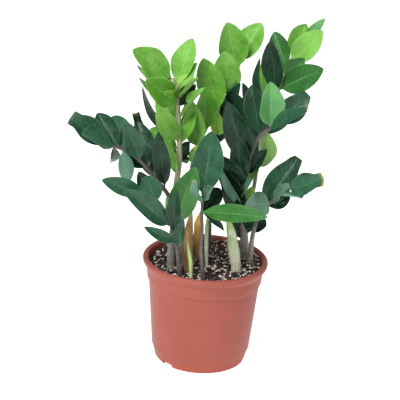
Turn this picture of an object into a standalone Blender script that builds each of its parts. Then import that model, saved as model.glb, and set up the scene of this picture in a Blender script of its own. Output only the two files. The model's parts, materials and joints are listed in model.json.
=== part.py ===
"""Potted ZZ plant: a plastic nursery pot, its soil, and ten fronds that rise from two rhizomes in the soil.

Metres, +Z up. The origin is the middle of the pot's base, on the surface that the pot stands on.
Lengths are written in millimetres, as a grower would measure them, and MM turns them into metres.
"""

import math

import bmesh
import bpy
import numpy as np

MM = 0.001
GAP = 0.3  # air left between two pieces that touch

# Pot
POT_HEIGHT = 146.0
RIM_RADIUS = 85.3
FOOT_RADIUS = 62.5
WALL = 2.0
FLOOR_HEIGHT = 6.0  # underside of the floor, above the surface that the foot ring stands on
PAD_RADIUS = 12.0  # middle of the floor, which comes down level with the foot ring
FOOT_RING_WIDTH = 4.0
POT_SEGMENTS = 48
DRAIN_HOLES = 6
DRAIN_HOLE_RADIUS = 4.0
DRAIN_CIRCLE_RADIUS = 44.0
FOOT_NOTCHES = 3
FOOT_NOTCH_WIDTH = 17.0
FOOT_NOTCH_HEIGHT = 5.2
FIRST_NOTCH_ANGLE = -133.0

# Soil
SOIL_EDGE_HEIGHT = 139.0
SOIL_CROWN_HEIGHT = 139.8
SOIL_TILT = (0.050, 0.040)  # rise of the soil's top towards +X and towards +Y
SOIL_SIDE_TOP = 134.0  # below this height the soil's side follows the pot's wall
SOCKET_SIDES = 16

# Rhizomes: middle, then half of the length, breadth and height
RHIZOMES = {
    "rhizome_left": ((-23.0, -27.0, 78.0), (29.0, 31.0, 22.0)),
    "rhizome_right": ((34.0, 20.0, 78.0), (27.0, 31.0, 22.0)),
}
RHIZOME_CLEARANCE = 0.5
ROOT_DEPTH = 108.0  # where a stem that stands beside a rhizome ends

# Leaflets
BLADE_THICKNESS = 1.0
BLADE_ROWS = 7
BLADE_COLUMNS = 4
NECK_SHARE = 0.07  # the stalk's share of a leaflet's length
NECK_HALF_WIDTH = 1.1
TIP_HALF_WIDTH = 0.5
ROW_CROWDING = 1.25  # above 1 sets the rows closer together at the stalk
ARCH = 0.05  # rise of the midrib, as a share of the length
TROUGH = 0.16  # rise of the blade's edges, as a share of its half width
BLADE_FACE = (0.0, -0.85, 0.5)  # the way that the upper faces look, before each leaflet's turn

# Stems
STEM_SIDES_LEVEL = 2
STEM_STEPS = 2  # steps between two points of a stem's path
STEM_SWELLING = 1.6  # how fast the swollen foot thins out

COLOURS = {
    "terracotta_plastic": ((0.48, 0.13, 0.09), 0.55),
    "potting_soil": ((0.05, 0.03, 0.02), 0.95),
    "rhizome_skin": ((0.42, 0.30, 0.16), 0.8),
    "stem_olive": ((0.22, 0.22, 0.12), 0.5),
    "stem_purple": ((0.12, 0.10, 0.10), 0.5),
    "leaf_mature": ((0.02, 0.09, 0.05), 0.3),
    "leaf_mid": ((0.05, 0.17, 0.05), 0.35),
    "leaf_young": ((0.16, 0.36, 0.06), 0.4),
    "sheath_dry": ((0.40, 0.20, 0.06), 0.8),
    "sheath_pale": ((0.55, 0.58, 0.38), 0.6),
}

# A frond: its foot and the points that its stem passes (x, y, z), the radius at the foot and at the tip, and
# its leaflets. A leaflet: its share of the way along the stem, its tip (x, y, z), its width, and how far the
# blade is turned about its own midrib, in degrees.
FRONDS = {
    "left": {
        "path": [(-46, -26, 139), (-47, -33, 176), (-46, -36, 207), (-51, -40, 239), (-61, -43, 256),
                 (-76, -46, 275), (-92, -49, 293), (-108, -52, 305), (-120, -54, 310), (-133, -56, 314)],
        "radii": (5.5, 1.8),
        "stem": "stem_purple",
        "blade": "leaf_mature",
        "leaflets": [
            (1.00, (-183, -62, 350), 31, -15),
            (0.96, (-163, -88, 337), 32, -35),
            (0.90, (-130, -10, 340), 28, -10),
            (0.78, (-110, -78, 350), 25, 5),
            (0.70, (-99, -20, 337), 28, -10),
            (0.54, (-70, -55, 335), 21, 10),
            (0.91, (-106, -75, 269), 19, 165),
            (0.27, (-20, -68, 296), 34, 0),
        ],
    },
    "low_left": {
        "path": [(-33, -52, 139), (-37, -54, 168), (-42, -57, 193), (-50, -63, 216), (-59, -69, 232),
                 (-67, -75, 244), (-76, -81, 253), (-82, -85, 260)],
        "radii": (3.2, 1.3),
        "stem": "stem_purple",
        "blade": "leaf_mature",
        "leaflets": [
            (1.00, (-135, -110, 285), 21, 0),
            (0.84, (-82, -70, 281), 27, 10),
            (0.53, (-106, -115, 275), 27, -10),
            (0.42, (-43, -85, 268), 19, 10),
        ],
    },
    "tall_left": {
        "path": [(-30, -8, 139), (-35, -8, 178), (-42, -8, 214), (-45, -8, 242), (-43, -5, 276),
                 (-43, -2, 296), (-47, 4, 335), (-50, 8, 360), (-54, 12, 376), (-59, 16, 388)],
        "radii": (6.0, 3.1),
        "stem": "stem_olive",
        "blade": "leaf_young",
        "leaflets": [
            (1.00, (-110, -10, 428), 33, 0),
            (0.95, (-100, 35, 396), 27, -15),
            (0.86, (-90, -35, 396), 32, 10),
            (0.94, (-35, 30, 439), 29, 15),
            (0.66, (-74, -30, 358), 25, 10),
        ],
    },
    "young": {
        "path": [(-18, -6, 139), (-20, -2, 155), (-23, 4, 203), (-28, 8, 237), (-27, 14, 267),
                 (-24, 18, 282), (-18, 22, 296), (-11, 28, 314), (-3, 34, 329), (6, 40, 341)],
        "radii": (3.0, 1.4),
        "stem": "stem_olive",
        "blade": "leaf_young",
        "leaflets": [
            (0.73, (-31, 0, 363), 27, 10),
            (0.85, (-14, 0, 382), 30, -15),
            (1.00, (-20, 50, 409), 34, 10),
        ],
    },
    "back": {
        "path": [(5, 41, 139), (3, 46, 194), (3, 52, 246), (6, 60, 287), (11, 68, 321), (17, 76, 351),
                 (25, 84, 376), (31, 92, 397)],
        "radii": (2.8, 1.4),
        "stem": "stem_purple",
        "blade": "leaf_young",
        "leaflets": [
            (0.96, (9, 76, 454), 38, 0),
            (1.00, (56, 112, 449), 34, 15),
            (0.82, (8, 58, 418), 36, 10),
        ],
    },
    "right": {
        "path": [(53, 16, 139), (51, 8, 173), (45, 4, 208), (45, 0, 238), (46, -4, 272), (49, -7, 292),
                 (53, -9, 307), (57, -11, 319), (63, -13, 328), (71, -15, 336), (80, -17, 344)],
        "radii": (6.8, 2.3),
        "stem": "stem_purple",
        "blade": "leaf_mature",
        "leaflets": [
            (0.67, (15, -40, 375), 31, 10),
            (0.87, (45, 10, 387), 26, 20),
            (0.95, (68, -32, 402), 31, -15),
            (1.00, (118, -15, 387), 31, -15),
            (0.91, (116, -50, 375), 20, 30),
            (0.93, (68, 24, 271), 27, 150),
            (0.41, (10, -38, 303), 31, 10),
        ],
    },
    "right_rear": {
        "path": [(50, 42, 139), (55, 46, 193), (61, 50, 236), (64, 54, 271), (68, 58, 306), (73, 60, 334),
                 (79, 62, 355), (86, 64, 370)],
        "radii": (4.5, 1.6),
        "stem": "stem_purple",
        "blade": "leaf_mature",
        "leaflets": [
            (0.96, (68, 60, 436), 27, 25),
            (1.00, (140, 40, 407), 33, -10),
        ],
    },
    "tall_right": {
        "path": [(32, 50, 139), (43, 64, 185), (53, 72, 235), (63, 82, 284), (74, 92, 325), (86, 102, 359),
                 (95, 110, 383), (102, 116, 403)],
        "radii": (3.5, 1.5),
        "stem": "stem_olive",
        "blade": "leaf_young",
        "leaflets": [
            (0.94, (76, 132, 434), 26, 20),
            (1.00, (144, 128, 457), 17, 20),
            (0.97, (139, 95, 447), 31, -10),
            (0.90, (117, 80, 411), 25, -20),
        ],
    },
    "low_right": {
        "path": [(61, 2, 139), (61, -6, 177), (65, -14, 209), (75, -24, 232), (88, -36, 251), (100, -48, 267)],
        "radii": (4.0, 1.8),
        "stem": "stem_purple",
        "blade": "leaf_mature",
        "leaflets": [
            (0.58, (115, 0, 297), 34, 10),
            (0.97, (142, -85, 296), 26, 0),
            (0.72, (47, -72, 250), 30, 10),
        ],
    },
    "front": {
        "path": [(-2, -58, 139), (-7, -60, 180), (-7, -61, 208), (-9, -61, 231), (-9, -60, 254)],
        "radii": (3.4, 1.8),
        "stem": "stem_purple",
        "blade": "leaf_mid",
        "leaflets": [
            (1.00, (-3, -42, 336), 37, 0),
            (0.82, (72, -110, 250), 22, 0),
        ],
    },
}

# A sheath or a young shoot: the points that it passes, its radius at each, and its finish
SHOOTS = {
    "sheath_brown": ([(-24, -28, 139), (-24, -27, 165), (-26, -26, 190), (-25, -25, 213)],
                     (3.6, 5.0, 4.8, 0.8), "sheath_dry"),
    "sheath_yellow": ([(-12, 8, 139), (-13, 8, 165), (-12, 8, 190), (-11, 8, 207)],
                      (2.6, 5.0, 6.2, 0.9), "sheath_dry"),
    "sheath_pale": ([(42, -24, 139), (37, -25, 168), (31, -26, 196), (23, -27, 224)],
                    (6.6, 7.4, 5.8, 0.8), "sheath_pale"),
    "sheath_green": ([(2, -14, 139), (0, -13, 165), (-1, -12, 190), (-1, -12, 211)],
                     (2.0, 2.8, 2.6, 0.6), "sheath_pale"),
    "young_spear": ([(-18, -54, 139), (-19, -54, 155), (-22, -54, 172), (-26, -54, 190)],
                    (2.4, 2.6, 2.2, 0.6), "leaf_young"),
}


def clear_scene():
    for obj in list(bpy.data.objects):
        bpy.data.objects.remove(obj)


def new_collection(name):
    collection = bpy.data.collections.new(name)
    bpy.context.scene.collection.children.link(collection)
    return collection


def make_material(name):
    colour, roughness = COLOURS[name]
    material = bpy.data.materials.get(name)
    if material is None:
        material = bpy.data.materials.new(name)
        material.use_nodes = True
        shader = material.node_tree.nodes["Principled BSDF"]
        shader.inputs["Base Color"].default_value = (*colour, 1.0)
        shader.inputs["Roughness"].default_value = roughness
        shader.inputs["Metallic"].default_value = 0.0
        material.diffuse_color = (*colour, 1.0)
    return material


def add_piece(name, data, finish, collection):
    """A named object with its own material, in the plant's collection."""
    obj = bpy.data.objects.new(name, data)
    data.materials.append(make_material(finish))
    collection.objects.link(obj)
    return obj


def add_cutter(name, bm, collection):
    mesh = bpy.data.meshes.new(name)
    bm.to_mesh(mesh)
    bm.free()
    cutter = bpy.data.objects.new(name, mesh)
    cutter.hide_render = True
    cutter.display_type = "WIRE"
    collection.objects.link(cutter)
    return cutter


def cut(obj, cutter):
    modifier = obj.modifiers.new("Cut " + cutter.name, "BOOLEAN")
    modifier.operation = "DIFFERENCE"
    modifier.solver = "EXACT"
    modifier.object = cutter


def turned(name, profile, segments, finish, collection):
    """A turned solid: the profile (radius, height) starts and ends on the axis, outer side downwards."""
    mesh = bpy.data.meshes.new(name)
    points = [(radius * MM, 0.0, height * MM) for radius, height in profile]
    edges = [(i, i + 1) for i in range(len(points) - 1)]
    mesh.from_pydata(points, edges, [])
    obj = add_piece(name, mesh, finish, collection)
    screw = obj.modifiers.new("Turn", "SCREW")
    screw.axis = "Z"
    screw.steps = segments
    screw.render_steps = segments
    screw.use_merge_vertices = True
    screw.merge_threshold = 0.0001
    screw.use_smooth_shade = True
    return obj


def turned_body(profile):
    """A turned solid like the one above, as a mesh that can be reshaped afterwards."""
    bm = bmesh.new()
    verts = [bm.verts.new((radius * MM, 0.0, height * MM)) for radius, height in profile]
    edges = [bm.edges.new(pair) for pair in zip(verts, verts[1:])]
    bmesh.ops.spin(bm, geom=verts + edges, axis=(0, 0, 1), cent=(0, 0, 0), steps=POT_SEGMENTS,
                   angle=2.0 * math.pi)
    bmesh.ops.remove_doubles(bm, verts=bm.verts, dist=1e-5)
    bmesh.ops.recalc_face_normals(bm, faces=bm.faces)
    return bm


def arc(centre, radius, start, end, steps):
    """Points on an arc in the profile's plane, with angles in degrees."""
    angles = np.radians(np.linspace(start, end, steps + 1))
    return [(centre[0] + radius * math.cos(a), centre[1] + radius * math.sin(a)) for a in angles]


def outer_wall():
    """The pot's outer side from the rim down: rolled rim, collar, step, tapered body and chamfered foot."""
    rim = arc((RIM_RADIUS - 3.0, POT_HEIGHT - 3.0), 3.0, 90, -10, 4)
    return rim + [
        (84.6, 138.8),
        (82.4, 135.6),
        (80.2, 132.6),
        (79.2, 128.5),
        (78.4, 117.0),
        (77.6, 115.2),
        (76.0, 113.8),
        (75.7, 111.0),
        (67.6, 16.4),
        (65.8, 14.4),
        (63.6, 4.0),
        (FOOT_RADIUS, 0.0),
    ]


def inner_wall():
    """The pot's inner side from the floor up, one wall thickness inside the outer side."""
    return [
        (62.2, FLOOR_HEIGHT + WALL),
        (65.2, 18.0),
        (73.3, 109.0),
        (73.9, 112.5),
        (75.6, 116.0),
        (76.4, 122.0),
        (76.7, 134.0),
        (77.0, 143.0),
        (79.5, POT_HEIGHT),
    ]


def ring_positions(count, radius, first_angle):
    for i in range(count):
        angle = math.radians(first_angle + 360.0 * i / count)
        yield angle, radius * math.cos(angle), radius * math.sin(angle)


def cylinder(radius, bottom, top, x, y, sides):
    """A closed cylinder between two heights, in millimetres."""
    bm = bmesh.new()
    bmesh.ops.create_cone(bm, cap_ends=True, segments=sides, radius1=radius * MM, radius2=radius * MM,
                          depth=(top - bottom) * MM)
    bmesh.ops.translate(bm, verts=bm.verts, vec=(x * MM, y * MM, (bottom + top) / 2 * MM))
    return bm


def make_pot(parts, cutters):
    floor_top = FLOOR_HEIGHT + WALL
    ring_inside = FOOT_RADIUS - FOOT_RING_WIDTH
    floor_inside = [(0.0, WALL), (PAD_RADIUS - 1.5, WALL), (PAD_RADIUS + 1.0, floor_top)]
    underside = [
        (ring_inside, 0.0),
        (ring_inside, FLOOR_HEIGHT),
        (PAD_RADIUS + 2.0, FLOOR_HEIGHT),
        (PAD_RADIUS, 0.0),
        (0.0, 0.0),
    ]
    profile = floor_inside + inner_wall() + outer_wall() + underside
    pot = turned("pot", profile, POT_SEGMENTS, "terracotta_plastic", parts)
    for i, (_, x, y) in enumerate(ring_positions(DRAIN_HOLES, DRAIN_CIRCLE_RADIUS, 0.0)):
        bm = cylinder(DRAIN_HOLE_RADIUS, -2.0, floor_top + 4.0, x, y, 12)
        cut(pot, add_cutter(f"drain_cutter_{i + 1}", bm, cutters))
    for i, (angle, x, y) in enumerate(ring_positions(FOOT_NOTCHES, FOOT_RADIUS, FIRST_NOTCH_ANGLE)):
        bm = bmesh.new()
        bmesh.ops.create_cube(bm, size=1.0)
        size = (4 * FOOT_RING_WIDTH * MM, FOOT_NOTCH_WIDTH * MM, 2 * FOOT_NOTCH_HEIGHT * MM)
        bmesh.ops.scale(bm, verts=bm.verts, vec=size)
        notch = add_cutter(f"notch_cutter_{i + 1}", bm, cutters)
        notch.location = (x * MM, y * MM, 0.0)
        notch.rotation_euler = (0.0, 0.0, angle)
        cut(pot, notch)
    return pot


def rhizome_ball(half, margin):
    """A rhizome's round body about its own middle, or its hollow in the soil when a margin is given."""
    bm = bmesh.new()
    bmesh.ops.create_uvsphere(bm, u_segments=14, v_segments=8, radius=1.0)
    bmesh.ops.scale(bm, verts=bm.verts, vec=[(side + margin) * MM for side in half])
    return bm


def make_rhizomes(parts):
    for name, (middle, half) in RHIZOMES.items():
        mesh = bpy.data.meshes.new(name)
        bm = rhizome_ball(half, 0.0)
        bm.to_mesh(mesh)
        bm.free()
        mesh.shade_smooth()
        rhizome = add_piece(name, mesh, "rhizome_skin", parts)
        rhizome.location = [side * MM for side in middle]


def root_level(x, y, radius):
    """Height of the lower end of a stem: just above the rhizome under it, or in plain soil beside it."""
    level = ROOT_DEPTH
    for middle, half in RHIZOMES.values():
        nearest = max(0.0, math.hypot(x - middle[0], y - middle[1]) - radius)
        share = nearest / min(half[:2])
        if share < 0.8:
            level = min(level, middle[2] + half[2] * math.sqrt(1.0 - share * share) + 2 * GAP)
    return level


def make_soil(parts, cutters, standing):
    """The soil fills the pot with a gap to its walls, and has a hollow for each rhizome and each stem."""
    bottom_height = FLOOR_HEIGHT + WALL + GAP
    side = [(radius - GAP, height) for radius, height in inner_wall() if height <= SOIL_SIDE_TOP]
    side[0] = (side[0][0], bottom_height)
    top = [(0.0, SOIL_CROWN_HEIGHT), (0.7 * side[-1][0], SOIL_CROWN_HEIGHT), (side[-1][0], SOIL_EDGE_HEIGHT)]
    bottom = [(PAD_RADIUS + 1.0, bottom_height), (0.0, bottom_height)]
    mesh = bpy.data.meshes.new("soil")
    bm = turned_body(top + side[::-1] + bottom)
    for vert in bm.verts:
        if vert.co.z > (SOIL_SIDE_TOP + GAP) * MM:
            vert.co.z += SOIL_TILT[0] * vert.co.x + SOIL_TILT[1] * vert.co.y
    bm.to_mesh(mesh)
    bm.free()
    soil = add_piece("soil", mesh, "potting_soil", parts)
    for name, (middle, half) in RHIZOMES.items():
        hollow = add_cutter(name + "_hollow", rhizome_ball(half, RHIZOME_CLEARANCE), cutters)
        hollow.location = [side * MM for side in middle]
        cut(soil, hollow)
    for name, (x, y, radius) in standing.items():
        bottom_level = root_level(x, y, radius) - 3.0
        wide = (radius + GAP) / math.cos(math.pi / SOCKET_SIDES)
        bm = cylinder(wide, bottom_level, SOIL_CROWN_HEIGHT + 10.0, x, y, SOCKET_SIDES)
        cut(soil, add_cutter(name + "_socket", bm, cutters))
    return soil


def smooth_path(points, steps):
    """Points on a smooth curve through the given ones, with this many steps between two of them."""
    given = [np.array(p, float) for p in points]
    ends = [2 * given[0] - given[1]] + given + [2 * given[-1] - given[-2]]
    path = []
    for a, b, c, d in zip(ends, ends[1:], ends[2:], ends[3:]):
        for i in range(steps):
            t = i / steps
            path.append(0.5 * (2 * b + (c - a) * t + (2 * a - 5 * b + 4 * c - d) * t**2
                               + (3 * b - 3 * c + d - a) * t**3))
    path.append(given[-1])
    return np.array(path)


def make_tube(name, path, radii, finish, parts):
    """A round stem along a path, with its own radius at every point."""
    curve = bpy.data.curves.new(name, "CURVE")
    curve.dimensions = "3D"
    curve.bevel_depth = MM
    curve.bevel_resolution = STEM_SIDES_LEVEL
    curve.use_fill_caps = True
    spline = curve.splines.new("POLY")
    spline.points.add(len(path) - 1)
    for point, place, radius in zip(spline.points, path, radii):
        point.co = (*(place * MM), 1.0)
        point.radius = radius
    return add_piece(name, curve, finish, parts)


def planted(points):
    """The points that a stem passes, with the first one at the soil's top."""
    x, y, _ = points[0]
    soil_top = SOIL_CROWN_HEIGHT + SOIL_TILT[0] * x + SOIL_TILT[1] * y
    return [(x, y, soil_top), *points[1:]]


def rooted(path, radius):
    """The path with a straight foot added below it, down to the rhizome."""
    x, y, _ = path[0]
    return np.vstack([[x, y, root_level(x, y, radius)], path])


def distances(path):
    steps = np.linalg.norm(np.diff(path, axis=0), axis=1)
    return np.concatenate([[0.0], np.cumsum(steps)])


def stem_radii(path, foot, tip):
    share = distances(path) / distances(path)[-1]
    return tip + (foot - tip) * (1.0 - share) ** STEM_SWELLING


def blade_outline(share):
    """Half of a leaflet's width at a share of its length, between 0 and 1: a stalk, a round base, a point."""
    along = np.clip((share - NECK_SHARE) / (1.0 - NECK_SHARE), 0.0, 1.0)
    return np.sin(np.pi * along**0.9) ** 0.68


def unit(vector):
    return vector / np.linalg.norm(vector)


def blade_frame(base, tip, turn):
    """A leaflet's directions: along its midrib, across its blade, and out of its upper face."""
    along = unit(tip - base)
    face = np.array(BLADE_FACE)
    face = unit(face - along * (face @ along))
    across = np.cross(face, along)
    angle = math.radians(turn)
    turned_face = face * math.cos(angle) + across * math.sin(angle)
    return along, np.cross(turned_face, along), turned_face


def make_leaflet(name, base, tip, width, turn, finish, parts):
    """A thin blade from a grid: its rows run across the leaflet and its columns along the midrib."""
    along, across, face = blade_frame(base, tip, turn)
    length = np.linalg.norm(tip - base)
    bm = bmesh.new()
    bmesh.ops.create_grid(bm, x_segments=BLADE_ROWS, y_segments=BLADE_COLUMNS, size=1.0)
    for vert in bm.verts:
        share = ((vert.co.x + 1.0) / 2.0) ** ROW_CROWDING
        side = vert.co.y
        least = NECK_HALF_WIDTH + (TIP_HALF_WIDTH - NECK_HALF_WIDTH) * share
        half = max(least, width / 2.0 * float(blade_outline(share)))
        rise = ARCH * length * 4.0 * share * (1.0 - share) + TROUGH * half * (side * side - 0.5)
        place = base + along * (share * length) + across * (side * half) + face * rise
        vert.co = place * MM
    mesh = bpy.data.meshes.new(name)
    bm.to_mesh(mesh)
    bm.free()
    mesh.shade_smooth()
    leaflet = add_piece(name, mesh, finish, parts)
    solid = leaflet.modifiers.new("Thickness", "SOLIDIFY")
    solid.thickness = BLADE_THICKNESS * MM
    solid.offset = 0.0
    return leaflet


def leaflet_base(path, radii, share, tip):
    """Where a leaflet's stalk starts: just outside the stem, on the side that its tip is on."""
    reach = distances(path)
    here = share * reach[-1]
    centre = np.array([np.interp(here, reach, path[:, axis]) for axis in range(3)])
    ahead = np.array([np.interp(here - 1.0, reach, path[:, axis]) for axis in range(3)])
    tangent = unit(centre - ahead) if share > 0.0 else np.array([0.0, 0.0, 1.0])
    radius = float(np.interp(here, reach, radii))
    out = unit(tip - centre)
    slant = abs(float(out @ tangent))
    if share == 1.0:
        return centre + out * (radius * math.sqrt(1.0 - slant * slant) + GAP + NECK_HALF_WIDTH)
    lean = math.sqrt(1.0 - slant * slant)
    return centre + out * (radius + GAP + NECK_HALF_WIDTH * slant) / max(lean, 0.35)


def make_frond(name, frond, parts):
    path = smooth_path(planted(frond["path"]), STEM_STEPS)
    radii = stem_radii(path, *frond["radii"])
    foot_radius = frond["radii"][0]
    make_tube("stem_" + name, rooted(path, foot_radius), [foot_radius, *radii], frond["stem"], parts)
    for i, (share, tip, width, turn) in enumerate(frond["leaflets"]):
        tip = np.array(tip, float)
        base = leaflet_base(path, radii, share, tip)
        make_leaflet(f"leaflet_{name}_{i + 1}", base, tip, width, turn, frond["blade"], parts)
    return (*frond["path"][0][:2], foot_radius)


def make_shoot(name, shoot, parts):
    points, point_radii, finish = shoot
    path = smooth_path(planted(points), STEM_STEPS)
    radii = np.interp(np.arange(len(path)) / STEM_STEPS, range(len(points)), point_radii)
    make_tube(name, rooted(path, point_radii[0]), [point_radii[0], *radii], finish, parts)
    return (*points[0][:2], point_radii[0])


def main():
    clear_scene()
    parts = new_collection("potted_zz_plant")
    cutters = new_collection("cutters")
    make_pot(parts, cutters)
    make_rhizomes(parts)
    standing = {}
    for name, frond in FRONDS.items():
        standing["stem_" + name] = make_frond(name, frond, parts)
    for name, shoot in SHOOTS.items():
        standing[name] = make_shoot(name, shoot, parts)
    make_soil(parts, cutters, standing)


main()
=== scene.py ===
"""Potted ZZ plant: the fine surfaces and finishes of a ZZ plant in its nursery pot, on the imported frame.

Metres, +Z up, in the frame's own coordinates. The plant's pieces take their places from the frame's nodes.
"""

import json
import math

import bmesh
import bpy
import numpy as np
from bpy.props import FloatProperty, FloatVectorProperty, IntProperty, PointerProperty
from mathutils import Matrix, Vector


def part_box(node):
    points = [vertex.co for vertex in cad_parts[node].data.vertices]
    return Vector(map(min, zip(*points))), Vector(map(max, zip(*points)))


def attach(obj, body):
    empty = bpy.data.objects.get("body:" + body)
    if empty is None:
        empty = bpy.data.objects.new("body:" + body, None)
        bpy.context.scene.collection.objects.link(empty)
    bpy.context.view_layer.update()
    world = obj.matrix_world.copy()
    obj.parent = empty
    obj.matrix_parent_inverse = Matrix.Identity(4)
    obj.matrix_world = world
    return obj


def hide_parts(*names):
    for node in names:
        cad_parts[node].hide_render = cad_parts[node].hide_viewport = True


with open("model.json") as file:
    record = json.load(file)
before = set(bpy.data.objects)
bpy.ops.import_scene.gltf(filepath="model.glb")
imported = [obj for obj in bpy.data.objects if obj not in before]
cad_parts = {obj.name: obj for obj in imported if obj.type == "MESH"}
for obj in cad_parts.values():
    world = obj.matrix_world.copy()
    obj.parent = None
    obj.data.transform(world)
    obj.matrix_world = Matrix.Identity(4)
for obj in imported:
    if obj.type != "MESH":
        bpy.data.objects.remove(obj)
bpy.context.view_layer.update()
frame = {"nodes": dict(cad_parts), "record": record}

bl_info = {
    "name": "Potted ZZ Plant",
    "version": (1, 0, 0),
    "blender": (4, 5, 0),
    "location": "3D View > Sidebar > ZZ Plant",
    "description": "Gives the packed plant its leaflets, stems, soil and pot",
    "category": "Add Mesh",
}

MM = 0.001
BODY = "root"

# Each node's record slot
SLOTS = {part["node"]: part["material_slot"] for part in frame["record"]["subparts"]}


# ---------------------------------------------------------------- shader maths


class Channel:
    """One output socket of a material's nodes, which takes part in Python expressions."""

    def __init__(self, finish, socket):
        self.finish = finish
        self.socket = socket

    def math(self, operation, *others):
        values = dict(enumerate((self, *others)))
        return self.finish.node("ShaderNodeMath", {"operation": operation}, values)

    def __add__(self, other):
        return self.math("ADD", other)

    def __sub__(self, other):
        return self.math("SUBTRACT", other)

    def __rsub__(self, other):
        return self.finish.node("ShaderNodeMath", {"operation": "SUBTRACT"}, {0: other, 1: self})

    def __mul__(self, other):
        return self.math("MULTIPLY", other)

    def size(self):
        return self.math("ABSOLUTE")

    def wave(self):
        return self.math("SINE")

    def between(self, low, high):
        """0 at low and 1 at high, with a smooth change in between. High may be the smaller one."""
        values = {"Value": self, "From Min": low, "From Max": high}
        return self.finish.node("ShaderNodeMapRange", {"interpolation_type": "SMOOTHSTEP"}, values)


class Finish:
    """A material with its node tree, and the few nodes that the plant's surfaces are made of."""

    def __init__(self, name):
        self.material = bpy.data.materials.new(name)
        self.material.use_nodes = True
        self.tree = self.material.node_tree
        self.tree.nodes.clear()

    def node(self, kind, settings=None, values=None, output=0):
        made = self.tree.nodes.new(kind)
        for key, value in (settings or {}).items():
            setattr(made, key, value)
        for key, value in (values or {}).items():
            if isinstance(value, Channel):
                self.tree.links.new(value.socket, made.inputs[key])
            else:
                made.inputs[key].default_value = value
        return Channel(self, made.outputs[output])

    def place(self, scale=(1.0, 1.0, 1.0)):
        coordinates = self.node("ShaderNodeTexCoord", output="Object")
        return self.node("ShaderNodeMapping", None, {"Vector": coordinates, "Scale": scale})

    def attribute(self, name):
        return self.node("ShaderNodeAttribute", {"attribute_name": name}, output="Fac")

    def noise(self, vector, scale, detail=3.0, roughness=0.5):
        values = {"Vector": vector, "Scale": scale, "Detail": detail, "Roughness": roughness}
        return self.node("ShaderNodeTexNoise", None, values, "Fac")

    def cells(self, vector, scale):
        return self.node("ShaderNodeTexVoronoi", {"feature": "F1"}, {"Vector": vector, "Scale": scale})

    def mix(self, share, first, second):
        """Between two colours. Each is a colour's numbers or another mix."""
        pair = [c if isinstance(c, Channel) else (*c[:3], 1.0) for c in (first, second)]
        settings = {"data_type": "RGBA"}
        return self.node("ShaderNodeMix", settings, {0: share, 6: pair[0], 7: pair[1]}, 2)

    def height(self, along):
        """Height above the ground, for a piece whose place is in its mesh."""
        return self.node("ShaderNodeSeparateXYZ", None, {0: along}, "Z")

    def surface(self, colour, roughness, bump=None, depth=0.0, fixed=None):
        """Ends the tree in a Principled shader. The bump is between 0 and 1, its depth is in metres."""
        values = {"Base Color": colour if isinstance(colour, Channel) else (*colour[:3], 1.0)}
        values["Roughness"] = roughness
        if bump is not None:
            relief = {"Height": bump, "Distance": depth, "Strength": 1.0}
            values["Normal"] = self.node("ShaderNodeBump", None, relief)
        values.update(fixed or {})
        shader = self.node("ShaderNodeBsdfPrincipled", None, values)
        output = self.tree.nodes.new("ShaderNodeOutputMaterial")
        self.tree.links.new(shader.socket, output.inputs["Surface"])
        return self.material


# ---------------------------------------------------------------- finishes

BLADE_FINISHES = {
    # shaded colour, lit colour, midrib, underside, roughness
    "mature": ((0.005, 0.030, 0.014), (0.030, 0.110, 0.058), (0.09, 0.20, 0.11), (0.07, 0.17, 0.11), 0.30),
    # The next finish is a darker copy of the mature one: painted shade, for leaflets that lie in the shade of
    # others
    "deep_and_painted_shade": ((0.0015, 0.009, 0.005), (0.013, 0.052, 0.025), (0.05, 0.12, 0.06), (0.04, 0.10, 0.06), 0.26),
    "mid": ((0.018, 0.095, 0.016), (0.052, 0.195, 0.042), (0.16, 0.33, 0.11), (0.14, 0.29, 0.12), 0.32),
    "young": ((0.062, 0.225, 0.013), (0.200, 0.455, 0.085), (0.26, 0.46, 0.09), (0.19, 0.37, 0.08), 0.38),
    "lime": ((0.180, 0.400, 0.030), (0.320, 0.560, 0.090), (0.46, 0.66, 0.20), (0.36, 0.56, 0.15), 0.42),
    # The next finish is grey-green: painted sheen, the glossy leaf's reflection of the bright room painted
    # into its colour
    "painted_sheen": ((0.040, 0.110, 0.068), (0.120, 0.235, 0.155), (0.20, 0.34, 0.22), (0.13, 0.29, 0.19), 0.40),
    # The next finish is a lighter green copy for leaflets that glint in fine dots: a painted highlight
    "painted_glints": ((0.070, 0.245, 0.070), (0.135, 0.345, 0.120), (0.24, 0.46, 0.20), (0.18, 0.38, 0.16), 0.42),
}
SCORCHED = (0.33, 0.21, 0.06)
LATERAL_VEINS = 9.0
VEIN_SLANT = 0.22


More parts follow.
